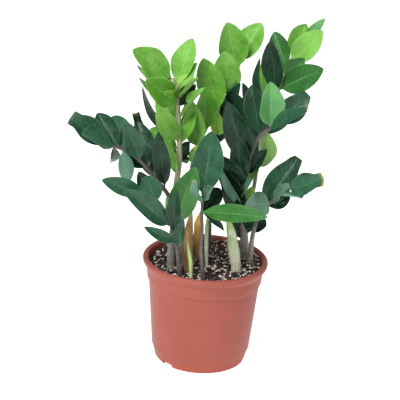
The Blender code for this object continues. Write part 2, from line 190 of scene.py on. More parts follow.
def blade_finish(name):
    """A waxy leaflet: mottled green, a pale midrib, faint slanting veins and a duller underside."""
    shaded, lit, rib, under_colour, shine = BLADE_FINISHES[name]
    finish = Finish("leaf_" + name)
    along = finish.attribute("along")
    side = finish.attribute("side").size()
    under = finish.attribute("under").between(0.35, 0.65)
    tone = finish.attribute("tone")
    place = finish.place()
    patches = finish.noise(place, 55.0, 3.0)
    blotches = finish.noise(place, 190.0, 3.0, 0.6)
    specks = finish.noise(place, 900.0, 2.0, 0.6)
    veins = ((along - side * VEIN_SLANT) * (LATERAL_VEINS * 2.0 * math.pi)).wave()
    ridge = veins.between(0.6, 1.0) * side.between(0.95, 0.5)
    midrib = side.between(0.075, 0.02) * along.between(0.95, 0.5)
    # The specks lighten the colour in fine pale dots: painted glints
    light = patches * 0.9 + blotches * 0.5 + tone * 0.60 + specks.between(0.5, 0.75) * 0.25
    colour = finish.mix(light.between(0.55, 1.5), shaded, lit)
    colour = finish.mix(ridge * 0.10, colour, rib)
    colour = finish.mix(midrib * 0.45, colour, rib)
    # The rim's pale dots are painted glints; the pale stalk end is the leaflet's own colour
    edge = side.between(0.92, 1.0) * specks.between(0.40, 0.62) * 0.75 + along.between(0.10, 0.0) * 0.6
    colour = finish.mix(edge, colour, rib)
    colour = finish.mix(finish.attribute("scorch") * along.between(0.92, 0.99) * 0.8, colour, SCORCHED)
    pale = finish.mix(patches.between(0.3, 0.8), under_colour, [0.8 * c for c in under_colour])
    colour = finish.mix(under, colour, pale)
    roughness = patches * 0.22 + specks * 0.08 + (shine - 0.16) + under * 0.2
    relief = ridge * 0.12 + specks * 0.25 + blotches * 1.1 + (1.0 - midrib) * 0.25
    return finish.surface(colour, roughness, relief, 0.00060, {"Specular IOR Level": 0.22})


def stem_finish(name, low, high, fleck, amount):
    """A fleshy stem: one colour at its foot, another higher up, and dark flecks that lie across it."""
    finish = Finish(name)
    place = finish.place()
    rise = finish.height(place).between(0.142, 0.205)
    across = finish.place((1.0, 1.0, 2.6))
    flecks = finish.noise(across, 330.0, 2.0, 0.6).between(0.50, 0.64) * amount
    blotches = finish.noise(place, 120.0, 3.0)
    colour = finish.mix(rise, low, high)
    colour = finish.mix(blotches.between(0.35, 0.75) * 0.45, colour, [0.55 * c for c in high])
    colour = finish.mix(flecks, colour, fleck)
    roughness = blotches * 0.2 + 0.3
    return finish.surface(colour, roughness, blotches + flecks, 0.0003)


def sheath_finish(name, pale, dark, tip):
    """A sheath with fibres along it, and another colour towards its top."""
    finish = Finish(name)
    fibres = finish.noise(finish.place((1.0, 1.0, 0.06)), 900.0, 3.0, 0.6)
    place = finish.place()
    rise = finish.height(place).between(0.145, 0.215)
    blotches = finish.noise(place, 90.0, 3.0)
    colour = finish.mix(fibres.between(0.35, 0.7), pale, dark)
    colour = finish.mix(rise * blotches.between(0.2, 0.6), colour, tip)
    return finish.surface(colour, fibres * 0.25 + 0.5, fibres, 0.0006)


def soil_finish(name, dark, light):
    finish = Finish(name)
    place = finish.place()
    clods = finish.noise(place, 260.0, 5.0, 0.65)
    crumbs = finish.cells(place, 700.0)
    colour = finish.mix(clods.between(0.35, 0.72), dark, light)
    colour = finish.mix(crumbs.between(0.35, 0.05) * 0.6, colour, [0.35 * c for c in dark])
    return finish.surface(colour, clods * 0.2 + 0.75, clods + crumbs * 0.5, 0.0015)


def grain_finish(name, dark, light, scale):
    finish = Finish(name)
    place = finish.place()
    mottle = finish.noise(place, scale, 4.0, 0.6)
    colour = finish.mix(mottle.between(0.3, 0.7), dark, light)
    return finish.surface(colour, mottle * 0.2 + 0.7, mottle, 0.0004)


def pot_finish(name, colour):
    """Moulded plastic: even terracotta with faint flow marks, fine grain, scuffs and a redder foot."""
    finish = Finish(name)
    place = finish.place()
    clouds = finish.noise(place, 14.0, 3.0)
    grain = finish.noise(place, 1400.0, 2.0)
    streaks = finish.noise(finish.place((1.0, 1.0, 0.05)), 160.0, 3.0, 0.6)
    scuffs = finish.noise(finish.place((0.25, 0.25, 2.2)), 240.0, 4.0, 0.7).between(0.66, 0.82)
    light = [1.06 * c for c in colour]
    deep_and_painted_shade = [0.94 * c for c in colour]
    tint = finish.mix(clouds.between(0.2, 0.8), deep_and_painted_shade, light)
    chalky = [1.1 * colour[0], 1.18 * colour[1], 1.2 * colour[2]]
    tint = finish.mix(streaks.between(0.5, 0.8) * 0.25, tint, chalky)
    foot = finish.height(place).between(0.017, 0.010)
    tint = finish.mix(foot * 0.5, tint, (1.15 * colour[0], 0.95 * colour[1], 0.75 * colour[2]))
    tint = finish.mix(scuffs * 0.2, tint, (0.50, 0.26, 0.20))
    roughness = grain * 0.08 + streaks * 0.1 + scuffs * 0.12 + 0.36
    return finish.surface(tint, roughness, grain * 0.4 + streaks * 0.6, 0.00012, {"Specular IOR Level": 0.12})


# ---------------------------------------------------------------- the frame's shapes


def merged(node):
    """A working copy of a frame node with its loose triangles joined, as a bmesh."""
    bm = bmesh.new()
    bm.from_mesh(frame["nodes"][node].data)
    bmesh.ops.remove_doubles(bm, verts=bm.verts, dist=1e-5)
    return bm


def reach_of(points):
    """How far along their line the points are."""
    steps = np.linalg.norm(np.diff(points, axis=0), axis=1)
    return np.concatenate([[0.0], np.cumsum(steps)])


class Line:
    """A stem's middle line and its radius, from the foot in the soil to the tip."""

    def __init__(self, node):
        bm = merged(node)
        lowest = min(v.co.z for v in bm.verts)
        ring = {v for v in bm.verts if v.co.z < lowest + 1e-4}
        seen = set()
        middles, radii = [], []
        while ring:
            middle = sum((v.co for v in ring), Vector()) / len(ring)
            middles.append(middle)
            radii.append(sum((v.co - middle).length for v in ring) / len(ring))
            seen |= ring
            ring = {e.other_vert(v) for v in ring for e in v.link_edges} - seen
        bm.free()
        self.points = np.array(middles)
        self.radii = np.array(radii)
        self.reach = reach_of(self.points)
        self.start = self.reach[1]

    def at(self, share):
        """Point and radius at a share of the way from the soil to the tip."""
        here = self.start + share * (self.reach[-1] - self.start)
        point = np.array([np.interp(here, self.reach, self.points[:, i]) for i in range(3)])
        return point, float(np.interp(here, self.reach, self.radii))

    def smoothed(self, parts):
        """More points along the line, and the radius at each."""
        points = smooth(self.points, parts)
        index = np.linspace(0, len(self.radii) - 1, len(points))
        return points, np.interp(index, np.arange(len(self.radii)), self.radii)

    def nearest(self, point):
        """The closest point of the line to a given one."""
        best = None
        for a, b in zip(self.points[:-1], self.points[1:]):
            span = b - a
            t = np.clip((point - a) @ span / (span @ span), 0.0, 1.0)
            found = a + t * span
            gap = np.linalg.norm(point - found)
            if best is None or gap < best[0]:
                best = (gap, found)
        return best[1]


def smooth(points, parts):
    """Points on a smooth curve through the given ones."""
    given = [points[0] * 2 - points[1], *points, points[-1] * 2 - points[-2]]
    made = []
    for a, b, c, d in zip(given, given[1:], given[2:], given[3:]):
        for i in range(parts):
            t = i / parts
            made.append(0.5 * (2 * b + (c - a) * t + (2 * a - 5 * b + 4 * c - d) * t**2
                               + (3 * b - 3 * c + d - a) * t**3))
    made.append(points[-1])
    return np.array(made)


def unit(vector):
    return vector / np.linalg.norm(vector)


class Blade:
    """Where a leaflet sits: its base on the stem, its directions, its length and its width."""

    def __init__(self, base, tip, face, width):
        self.base = np.array(base)
        self.length = float(np.linalg.norm(tip - self.base))
        self.along = unit(tip - self.base)
        self.face = unit(face - self.along * (face @ self.along))
        self.across = np.cross(self.face, self.along)
        self.width = float(width)


def blade_of(node, line):
    """Reads a leaflet's place from its frame node: the end next to the stem is its base."""
    bm = merged(node)
    points = np.array([v.co for v in bm.verts])
    bm.free()
    middle = points.mean(axis=0)
    axes = np.linalg.svd(points - middle, full_matrices=False)[2]
    run = (points - middle) @ axes[0]
    ends = [points[run < run.min() + 0.0006].mean(axis=0), points[run > run.max() - 0.0006].mean(axis=0)]
    gaps = [np.linalg.norm(end - line.nearest(end)) for end in ends]
    base, tip = ends if gaps[0] < gaps[1] else ends[::-1]
    along = unit(tip - base)
    face = unit(axes[2] - along * (axes[2] @ along))
    if ((points - base) @ face).mean() < 0.0:
        face = -face
    spread = (points - middle) @ np.cross(face, along)
    return Blade(base, tip, face, spread.max() - spread.min())


# ---------------------------------------------------------------- modelling helpers


def add_object(name, data):
    made = bpy.data.objects.new(name, data)
    bpy.context.scene.collection.objects.link(made)
    return made


def start_fresh():
    if bpy.context.object and bpy.context.object.mode != "OBJECT":
        bpy.ops.object.mode_set(mode="OBJECT")
    bpy.ops.object.select_all(action="DESELECT")


def only(piece):
    start_fresh()
    piece.select_set(True)
    bpy.context.view_layer.objects.active = piece


def edit(piece, action="DESELECT"):
    """Goes into edit mode with none of the piece's points selected, or all of them."""
    only(piece)
    bpy.ops.object.mode_set(mode="EDIT")
    bpy.ops.mesh.select_mode(type="VERT")
    bpy.ops.mesh.select_all(action=action)


def select(piece, test):
    """In edit mode, selects the points that pass a test on their place."""
    bm = bmesh.from_edit_mesh(piece.data)
    for vert in bm.verts:
        vert.select_set(test(vert.co))
    bm.select_flush_mode()
    bmesh.update_edit_mesh(piece.data)


def leave():
    bpy.ops.object.mode_set(mode="OBJECT")


def apply_modifier(piece, kind, **settings):
    only(piece)
    modifier = piece.modifiers.new(kind.title(), kind)
    for key, value in settings.items():
        setattr(modifier, key, value)
    bpy.ops.object.modifier_apply(modifier=modifier.name)


def points_of(mesh):
    points = np.zeros(len(mesh.vertices) * 3)
    mesh.vertices.foreach_get("co", points)
    return points.reshape(-1, 3)


def set_points(mesh, points):
    mesh.vertices.foreach_set("co", points.ravel())
    mesh.update()


def point_values(mesh, name, values=None):
    """Reads or writes a number that every point of a mesh has."""
    layer = mesh.attributes.get(name) or mesh.attributes.new(name, "FLOAT", "POINT")
    if values is not None:
        layer.data.foreach_set("value", np.asarray(values, np.float32))
        return values
    found = np.zeros(len(mesh.vertices), np.float32)
    layer.data.foreach_get("value", found)
    return found


def finished(piece, name, material, replaces=()):
    """Names a finished piece, gives it its material, and puts it on the frame."""
    piece.name = name
    piece.data.name = name
    piece.data.materials.clear()
    piece.data.materials.append(material)
    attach(piece, BODY)
    if replaces:
        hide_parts(*replaces)


def smooth_shade(piece, degrees):
    only(piece)
    bpy.ops.object.shade_smooth_by_angle(angle=math.radians(degrees))


# ---------------------------------------------------------------- leaflets

NECK = 0.06  # the stalk's share of a leaflet's length
STALK_WIDTH = 0.085  # the stalk's width, as a share of the blade's
TIP_WIDTH = 0.02
VISIBLE_WIDTH = 1.10  # a blade that is spread out is wider than its straight width across the trough


def outline(share):
    """The blade's width at a share of its length, as a share of its greatest width."""
    along = np.clip((share - NECK) / (1.0 - NECK), 0.0, 1.0)
    body = np.sin(np.pi * along**0.90) ** 0.65
    return max(body, STALK_WIDTH * (1.0 - share) + TIP_WIDTH * share)


def model_blade(rows, columns):
    """A flat unit blade along +X: 1 long, 1 wide and 1 thick, which each leaflet bends to its own shape."""
    start_fresh()
    middle = (0.5, 0.0, 0.0)
    bpy.ops.mesh.primitive_grid_add(x_subdivisions=rows, y_subdivisions=columns, size=1.0, location=middle)
    blade = bpy.context.object
    bpy.ops.object.transform_apply(location=True)
    flat = points_of(blade.data)
    point_values(blade.data, "side", flat[:, 1] * 2.0)
    edit(blade)
    for share in sorted(set(flat[:, 0].round(5))):
        select(blade, lambda co: abs(co.x - share) < 1e-4)
        bpy.ops.transform.resize(value=(1.0, float(outline(share)), 1.0), center_override=(share, 0.0, 0.0))
    leave()
    apply_modifier(blade, "SOLIDIFY", thickness=1.0, offset=0.0)
    heights = points_of(blade.data)[:, 2]
    point_values(blade.data, "under", (heights < 0.0).astype(float))
    return blade


def shape_leaflet(mesh, blade, thickness, habit):
    """Bends a copy of the unit blade to a leaflet's own arch, trough, wave, twist and sweep, in place."""
    unit_points = points_of(mesh)
    share, half = unit_points[:, 0], unit_points[:, 1]
    width = np.array([outline(s) for s in share])
    blunted = np.maximum(width, BLUNT_END * np.clip((share - 0.45) / 0.25, 0.0, 1.0))
    fuller = width + habit["blunt"] * (blunted - width)
    half = half * fuller / width
    side = point_values(mesh, "side")
    under = point_values(mesh, "under")
    size = blade.length * (1.0 - 0.05 * habit["blunt"])
    half_width = blade.width * VISIBLE_WIDTH / 2.0 * fuller
    middle = np.exp(-((side / 0.10) ** 2)) * (1.0 - 0.7 * share)
    veins = np.sin((share - np.abs(side) * VEIN_SLANT) * LATERAL_VEINS * 2.0 * math.pi)
    body = np.clip((share - NECK) / 0.1, 0.0, 1.0)
    rise = habit["arch"] * size * 4.0 * share * (1.0 - share)
    rise += habit["trough"] * half_width * (np.abs(side) ** 1.4 - 0.5)
    rise += habit["wave"] * half_width * side**2 * np.sin(2.0 * math.pi * (1.4 * share + habit["phase"]))
    rise += np.where(np.sign(side) == habit["lifted"], habit["lift"], 0.0) * half_width * side**2
    rise -= habit["curl"] * size * np.clip(share - 0.6, 0.0, 1.0) ** 2
    rise += veins * body * (1.0 - np.abs(side)) * 0.00005
    keel = np.where(under > 0.5, -0.0007, -0.00045) * middle * body
    edge = 1.0 - 0.45 * np.abs(side) ** 4
    stalk = 1.0 + 1.3 * np.clip(1.0 - share / NECK, 0.0, 1.0)
    shell = (0.5 - under) * thickness * edge * stalk
    across = half * blade.width * VISIBLE_WIDTH + habit["sweep"] * size * 4.0 * share * (1.0 - share)
    up = rise + keel + shell
    twist = habit["twist"] * (share - 0.2)
    turned = across * np.cos(twist) - up * np.sin(twist)
    lifted = across * np.sin(twist) + up * np.cos(twist)
    points = (blade.base + np.outer(share * size, blade.along) + np.outer(turned, blade.across)
              + np.outer(lifted, blade.face))
    set_points(mesh, points)
    point_values(mesh, "along", share)
    point_values(mesh, "scorch", np.full(len(share), habit["scorch"]))


def leaflet_habit(name, rng, calm=False):
    """A leaflet's own small departures from the pattern."""
    scale = 0.5 if calm else 1.0
    blunt, scorch = DAMAGED_LEAFLETS.get(name, (0.0, 0.0))
    return {
        "arch": 0.05 + rng.uniform(-0.02, 0.025) * scale,
        "trough": 0.36 + rng.uniform(-0.12, 0.30) * scale,
        "wave": rng.uniform(0.05, 0.28) * scale,
        "phase": rng.uniform(0.0, 1.0),
        "lifted": rng.choice([-1.0, 1.0]),
        "lift": rng.uniform(0.0, 0.16) * scale,
        "curl": rng.uniform(-0.10, 0.45) * scale,
        "sweep": rng.uniform(-0.02, 0.02) * scale,
        "twist": rng.uniform(-0.30, 0.30) * scale,
        "blunt": blunt,
        "scorch": scorch,
    }


def place_leaflet(master, blade, name, material, habit, tone, thickness, replaces=()):
    """One leaflet: a copy of the unit blade, bent to its place, smoothed and finished."""
    piece = add_object(name, master.data.copy())
    shape_leaflet(piece.data, blade, thickness, habit)
    point_values(piece.data, "tone", np.full(len(piece.data.vertices), tone))
    apply_modifier(piece, "SUBSURF", levels=1, render_levels=1)
    only(piece)
    bpy.ops.object.shade_smooth()
    finished(piece, name, material, replaces)


def touching(blade, line):
    """The blade with its stalk carried on into the stem's skin."""
    reach = np.linalg.norm(blade.base - line.nearest(blade.base))
    tip = blade.base + blade.along * blade.length
    return Blade(blade.base - blade.along * min(reach, 0.003) * 0.8, tip, blade.face, blade.width)


SLOT_FINISH = {"leaf_mature": "mature", "leaf_mid": "mid", "leaf_young": "young"}

# Leaflets with a damaged tip: how blunt, from 0 for a point to 1 for a square end, and how brown
BLUNT_END = 0.62
DAMAGED_LEAFLETS = {
    "leaflet_left_1": (1.0, 0.15),
    "leaflet_left_4": (0.4, 0.0),
    "leaflet_right_4": (0.5, 0.0),
    "leaflet_right_5": (0.6, 0.15),
    "leaflet_low_right_1": (0.5, 0.1),
    "leaflet_low_right_2": (1.0, 1.0),
    "side_leaflet_left_4": (1.0, 0.3),
    "side_leaflet_low_right_1": (1.0, 0.0),
    "side_leaflet_low_right_2": (0.6, 0.0),
    "side_leaflet_front_2": (0.7, 0.5),
}

# Stems and leaflets whose finish isn't the usual one of their slot. Among the leaf finishes, the darker copy
# of the mature one is painted shade, the grey-green one painted sheen and the lighter dotted one a painted
# highlight
OWN_FINISH = {
    "stem_left": "stem_pale_foot",
    "stem_right": "stem_pale_foot",
    "stem_low_right": "stem_pale_foot",
    "leaflet_left_5": "deep_and_painted_shade",
    "leaflet_left_6": "deep_and_painted_shade",
    "leaflet_left_7": "mature",
    "leaflet_left_8": "mid",
    "leaflet_low_left_4": "deep_and_painted_shade",
    "leaflet_front_1": "mature",
    "leaflet_front_2": "mid",
    "leaflet_right_1": "deep_and_painted_shade",
    "leaflet_right_2": "deep_and_painted_shade",
    "leaflet_right_3": "painted_glints",
    "leaflet_right_6": "young",
    "leaflet_right_7": "deep_and_painted_shade",
    "leaflet_right_rear_1": "deep_and_painted_shade",
    "leaflet_right_rear_2": "mid",
    "leaflet_low_right_2": "mature",
    "leaflet_low_right_3": "painted_sheen",
    "leaflet_tall_left_4": "young",
    "leaflet_tall_right_1": "mid",
    "leaflet_tall_right_2": "painted_glints",
    "leaflet_tall_right_4": "mid",
}

# Leaflets too small or too hidden to be frame nodes: the stem that each grows on, its share of the way up,
# its tip from there (millimetres), its width, how far it is turned about its midrib, and its finish
# Among these finishes, the darker copy of the mature one is painted shade and the grey-green one painted
# sheen
SIDE_LEAFLETS = {
    "left": [
        (0.93, (-32, 24, 38), 26, 0, "mature"),
        (0.97, (-2, 35, -34), 14, 50, "deep_and_painted_shade"),
        (0.72, (-34, 22, 10), 20, 0, "deep_and_painted_shade"),
        (0.68, (-28, 41, 73), 15, 5, "deep_and_painted_shade"),
        (0.62, (-20, 35, 43), 16, 20, "painted_sheen"),
        (0.80, (-32, 60, 22), 24, 10, "mature"),
        (0.60, (-31, 64, 43), 24, 10, "deep_and_painted_shade"),
        (0.27, (-9, 15, 44), 12, 40, "young"),
    ],
    "low_left": [
        (0.36, (-41, -28, 30), 14, 10, "mature"),
        (0.30, (7, -25, 49), 16, 20, "mature"),
        (0.70, (-42, 8, 23), 20, 30, "deep_and_painted_shade"),
        (0.80, (-29, 23, 38), 20, 20, "deep_and_painted_shade"),
    ],
    "tall_left": [
        (0.90, (-52, 11, 18), 16, 60, "mid"),
        (0.95, (-52, 28, 20), 14, 65, "mid"),
        (0.66, (-56, 16, 67), 20, 66, "deep_and_painted_shade"),
        (0.50, (-22, -14, 60), 20, 25, "young"),
        (0.48, (-26, 17, 51), 20, -30, "lime"),
        (0.62, (-42, 27, 20), 22, 10, "young"),
        (0.92, (14, -35, 33), 12, 50, "lime"),
        (0.92, (-13, -50, 14), 10, 60, "lime"),
        (0.88, (26, -28, 39), 14, 70, "young"),
        (0.84, (21, -1, 34), 18, 20, "deep_and_painted_shade"),
        (0.78, (31, -19, 51), 16, 60, "young"),
        (0.64, (19, 11, 56), 20, 20, "young"),
        (0.56, (12, 15, 14), 12, 20, "deep_and_painted_shade"),
        (0.74, (-31, 28, 35), 26, 10, "young"),
        (0.88, (23, 7, 51), 18, 20, "young"),
        (0.58, (12, 4, 23), 14, 20, "deep_and_painted_shade"),
        (0.56, (13, 5, 5), 13, 20, "mature"),
    ],
    "young": [
        (0.62, (5, -15, 32), 12, 30, "lime"),
    ],
    "back": [
        (0.60, (-4, -22, 40), 19, 10, "lime"),
        (0.80, (9, -5, 42), 17, 20, "mid"),
        (0.62, (0, -4, 59), 24, 0, "deep_and_painted_shade"),
        (0.55, (18, 1, 67), 22, 10, "deep_and_painted_shade"),
        (0.62, (22, -4, 72), 20, 10, "deep_and_painted_shade"),
    ],
    "right_rear": [
        (0.62, (-38, -16, 80), 27, 10, "deep_and_painted_shade"),
        (0.66, (-32, -27, 89), 20, -10, "deep_and_painted_shade"),
        (0.80, (-18, 11, 82), 16, 62, "deep_and_painted_shade"),
        (0.50, (4, 38, 65), 26, 10, "mature"),
        (0.70, (39, 32, 35), 26, 10, "mature"),
    ],
    "tall_right": [
        (0.72, (-15, 6, 65), 22, 10, "young"),
        (0.80, (10, 20, 45), 24, 10, "young"),
        (1.00, (16, 9, 46), 28, 20, "young"),
    ],
    "right": [
        (0.53, (-16, -23, 77), 25, 10, "deep_and_painted_shade"),
        (0.30, (-29, -35, 76), 27, 10, "deep_and_painted_shade"),
        (0.58, (25, -2, 40), 17, 10, "deep_and_painted_shade"),
        (0.26, (-24, -25, 51), 26, 10, "deep_and_painted_shade"),
        (0.20, (17, -22, 36), 20, 10, "deep_and_painted_shade"),
        (0.12, (-16, -10, 44), 24, 10, "deep_and_painted_shade"),
        (0.14, (8, 12, 50), 22, 10, "deep_and_painted_shade"),
        (0.36, (-32, -63, 72), 14, 50, "painted_sheen"),
        (0.42, (8, -51, 48), 12, 60, "painted_sheen"),
        (0.44, (18, 11, 37), 12, 50, "young"),
        (0.34, (14, 8, 34), 12, 40, "lime"),
    ],
    "low_right": [
        (0.88, (28, -23, 6), 13, 60, "painted_sheen"),
        (0.78, (13, -41, 35), 18, 30, "painted_sheen"),
        (0.66, (31, 4, 17), 22, 0, "deep_and_painted_shade"),
        (0.30, (15, 19, 17), 18, 10, "deep_and_painted_shade"),
    ],
    "front": [
        (0.82, (31, 1, -24), 10, 30, "deep_and_painted_shade"),
        (0.92, (-13, -25, 38), 14, 50, "painted_sheen"),
        (0.96, (12, -20, 26), 16, 30, "painted_sheen"),
        (0.80, (22, 36, 24), 24, 0, "deep_and_painted_shade"),
    ],
}


def tip_face(along, turn):
    """The way that a leaflet's upper face looks: to the front and up, turned about its midrib."""
    face = np.array((0.0, -0.85, 0.5))
    face = unit(face - along * (face @ along))
    return face * math.cos(turn) + np.cross(face, along) * math.sin(turn)


# ---------------------------------------------------------------- stems and sheaths

JOINT_SWELLING = 0.16
JOINT_LENGTH = 0.0025


def model_tube(name, points, radii, sides):
    """A round tube with closed ends, along a line with its own radius at every point."""
    curve = bpy.data.curves.new(name, "CURVE")
    curve.dimensions = "3D"
    curve.bevel_depth = 1.0
    curve.bevel_resolution = (sides - 4) // 2
    curve.use_fill_caps = True
    spline = curve.splines.new("POLY")
    spline.points.add(len(points) - 1)
    for spot, place, radius in zip(spline.points, points, radii):
        spot.co = (*place, 1.0)
        spot.radius = radius
    tube = add_object(name, curve)
    only(tube)
    bpy.ops.object.convert(target="MESH")
    tube = bpy.context.object
    edit(tube, "SELECT")
    bpy.ops.mesh.remove_doubles(threshold=1e-6)
    leave()
    return tube


def make_stem(frond, settings, materials):
    """A frond's stem, a little thicker where a leaflet grows and narrow at its end."""
    node = "stem_" + frond
    line = Line(node)
    points, radii = line.smoothed(settings.stem_steps)
    reach = reach_of(points)
    for leaflet in leaflet_nodes(frond):
        near = line.nearest(blade_of(leaflet, line).base)
        joint = line.reach[np.linalg.norm(line.points - near, axis=1).argmin()]
        radii = radii * (1.0 + JOINT_SWELLING * np.exp(-(((reach - joint) / JOINT_LENGTH) ** 2)))
    radii[-3:] *= (0.95, 0.8, 0.45)
    tube = model_tube(node + "_fine", points, radii, settings.stem_sides)
    smooth_shade(tube, 60.0)
    slot = SLOTS[node]
    finished(tube, node + "_fine", materials[OWN_FINISH.get(node, slot)], [node])


# ---------------------------------------------------------------- settings


def length_property(name, description, default):
    return FloatProperty(name=name, description=description, default=default, min=0.0, unit="LENGTH",
                         precision=4)


def amount_property(name, description, default):
    return FloatProperty(name=name, description=description, default=default, min=0.0)


def count_property(name, description, default, least=0):
    return IntProperty(name=name, description=description, default=default, min=least)


def colour_property(name, description, default):
    return FloatVectorProperty(name=name, description=description, default=default, size=3, min=0.0, max=1.0,
                               subtype="COLOR")


class FoliageSettings(bpy.types.PropertyGroup):
    """Leaflets and stems"""

    blade_thickness: length_property("Blade thickness", "Thickness of a leaflet at its middle", 0.0010)
    blade_rows: count_property("Blade rows", "Faces along a leaflet", 26, 8)
    blade_columns: count_property("Blade columns", "Faces across a leaflet", 12, 4)
    stem_sides: count_property("Stem sides", "Faces round a stem", 20, 8)
    stem_steps: count_property("Stem steps", "Steps between two rings of a stem", 4, 1)
    seed: count_property("Seed", "Seed of the leaflets' own shapes", 7)


class PotSettings(bpy.types.PropertyGroup):
    """Nursery pot"""

    segments: count_property("Segments", "Faces round the pot", 144, 24)
    colour: colour_property("Colour", "Terracotta plastic", (0.280, 0.074, 0.054))


class SoilSettings(bpy.types.PropertyGroup):
    """Potting soil"""

    rings: count_property("Rings", "Faces from the middle to the edge", 56, 8)
    segments: count_property("Segments", "Faces round the soil", 240, 24)
    clod_height: length_property("Clod height", "Height of the lumps in the surface", 0.0035)
    perlite: count_property("Perlite", "Number of perlite grains", 260)
    bark: count_property("Bark", "Number of bark chips", 300)
    crumbs: count_property("Crumbs", "Number of peat crumbs", 520)
    seed: count_property("Seed", "Seed of the grains' places", 3)


class StageSettings(bpy.types.PropertyGroup):
    """Floor, lights and camera"""

    floor_colour: colour_property("Floor colour", "Pale studio floor", (0.90, 0.90, 0.91))
    key_power: amount_property("Key power", "Power of the large soft light", 84.0)
    fill_power: amount_property("Fill power", "Power of the fill and back lights", 9.0)
    sky: amount_property("Sky", "Strength of the even light from all round", 0.26)
    floor_glow: amount_property("Floor glow", "Light that the floor gives off", 0.7)


# ---------------------------------------------------------------- operators


class ZZ_OT_pot(bpy.types.Operator):
    """Turns the nursery pot, with its rolled rim, collar, step, foot ring, drain holes and notches"""

    bl_idname = "zz.pot"
    bl_label = "Nursery Pot"

    def execute(self, context):
        settings = context.scene.zz_pot
        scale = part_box("pot")[1].z / POT_HEIGHT
        pot = turned([(r * scale, z * scale) for r, z in pot_profile()], settings.segments)
        cut_drains(pot, scale)
        smooth_shade(pot, 35.0)
        material = pot_finish("terracotta_plastic_fine", settings.colour)
        finished(pot, "pot_fine", material, ["pot"])
        return {"FINISHED"}


def arc(centre, radius, start, end, steps):
    angles = np.radians(np.linspace(start, end, steps + 1))
    return [(centre[0] + radius * math.cos(a), centre[1] + radius * math.sin(a)) for a in angles]


POT_HEIGHT = 0.146  # the height that the section below is drawn at


def pot_profile():
    """Half of the pot's section in millimetres, from the middle of the floor up inside and down outside."""
    inside = [(0.0, 2.0), (9.0, 2.0), (11.0, 2.6), (12.4, 6.6), (14.0, 7.8), (40.0, 8.0), (59.0, 8.0),
              (61.6, 8.8), (62.9, 11.0), (65.2, 18.0), (69.5, 65.0), (73.2, 108.5), (73.8, 112.2),
              (75.2, 114.8), (75.9, 117.5), (76.4, 122.0), (76.7, 134.0), (77.0, 141.0), (77.6, 143.4),
              (78.8, 145.0)]
    lip = arc((82.2, 142.8), 3.1, 118, -12, 12)
    outside = [(85.1, 140.6), (84.6, 138.9), (83.7, 137.5), (82.3, 135.9), (81.0, 134.3), (80.1, 132.7),
               (79.6, 130.9), (79.3, 128.5), (78.9, 123.0), (78.4, 117.2), (78.2, 116.3), (77.7, 115.4),
               (76.7, 114.5), (76.1, 113.9), (75.85, 113.2), (75.7, 111.0), (71.7, 64.0), (67.8, 17.9),
               (67.6, 16.9), (67.1, 15.9), (66.2, 15.1), (65.8, 14.4), (65.5, 12.6), (64.6, 8.0),
               (63.7, 4.0), (63.0, 1.2), (62.4, 0.3), (61.4, 0.0)]
    under = [(59.4, 0.0), (58.6, 0.5), (58.5, 5.2), (57.6, 6.0), (15.0, 6.0), (13.6, 5.2), (12.4, 0.7),
             (11.6, 0.0), (0.0, 0.0)]
    return [(r * MM, z * MM) for r, z in inside + lip + outside + under]


def draw_profile(piece, profile):
    """In edit mode, draws a line of edges through the profile's points by extruding its last point."""
    bm = bmesh.from_edit_mesh(piece.data)
    first = bm.verts.new((profile[0][0], 0.0, profile[0][1]))
    first.select_set(True)
    bmesh.update_edit_mesh(piece.data)
    for (r0, z0), (r1, z1) in zip(profile, profile[1:]):
        bpy.ops.mesh.extrude_vertices_move(TRANSFORM_OT_translate={"value": (r1 - r0, 0.0, z1 - z0)})


def turned(profile, segments):
    """A closed body: half of its section, drawn from axis to axis and spun round the upright axis."""
    start_fresh()
    bpy.ops.mesh.primitive_circle_add(vertices=3, radius=0.001)
    piece = bpy.context.object
    edit(piece, "SELECT")
    bpy.ops.mesh.delete(type="VERT")
    draw_profile(piece, profile)
    bpy.ops.mesh.select_all(action="SELECT")
    bpy.ops.mesh.spin(steps=segments, angle=2.0 * math.pi, center=(0, 0, 0), axis=(0, 0, 1))
    bpy.ops.mesh.select_all(action="SELECT")
    bpy.ops.mesh.remove_doubles(threshold=2e-6)
    bpy.ops.mesh.dissolve_degenerate(threshold=1e-7)
    bpy.ops.mesh.select_all(action="SELECT")
    bpy.ops.mesh.normals_make_consistent(inside=False)
    leave()
    return piece


def subtract(piece, cutter):
    apply_modifier(piece, "BOOLEAN", operation="DIFFERENCE", solver="EXACT", object=cutter)
    bpy.data.objects.remove(cutter)


DRAIN_HOLES = 6
DRAIN_CIRCLE = 0.044  # distance of the drain holes from the pot's middle
DRAIN_RADIUS = 0.004
FLOOR_UNDERSIDE = 0.006
NOTCHES = 3
NOTCH_CIRCLE = 0.0625
FIRST_NOTCH = math.radians(-133.0)
NOTCH_SIZE = (0.016, 0.017, 0.0104)  # half of the height is below the ground
NOTCH_ROUNDING = 0.0022


def on_circle(radius, angle, height):
    return (radius * math.cos(angle), radius * math.sin(angle), height)


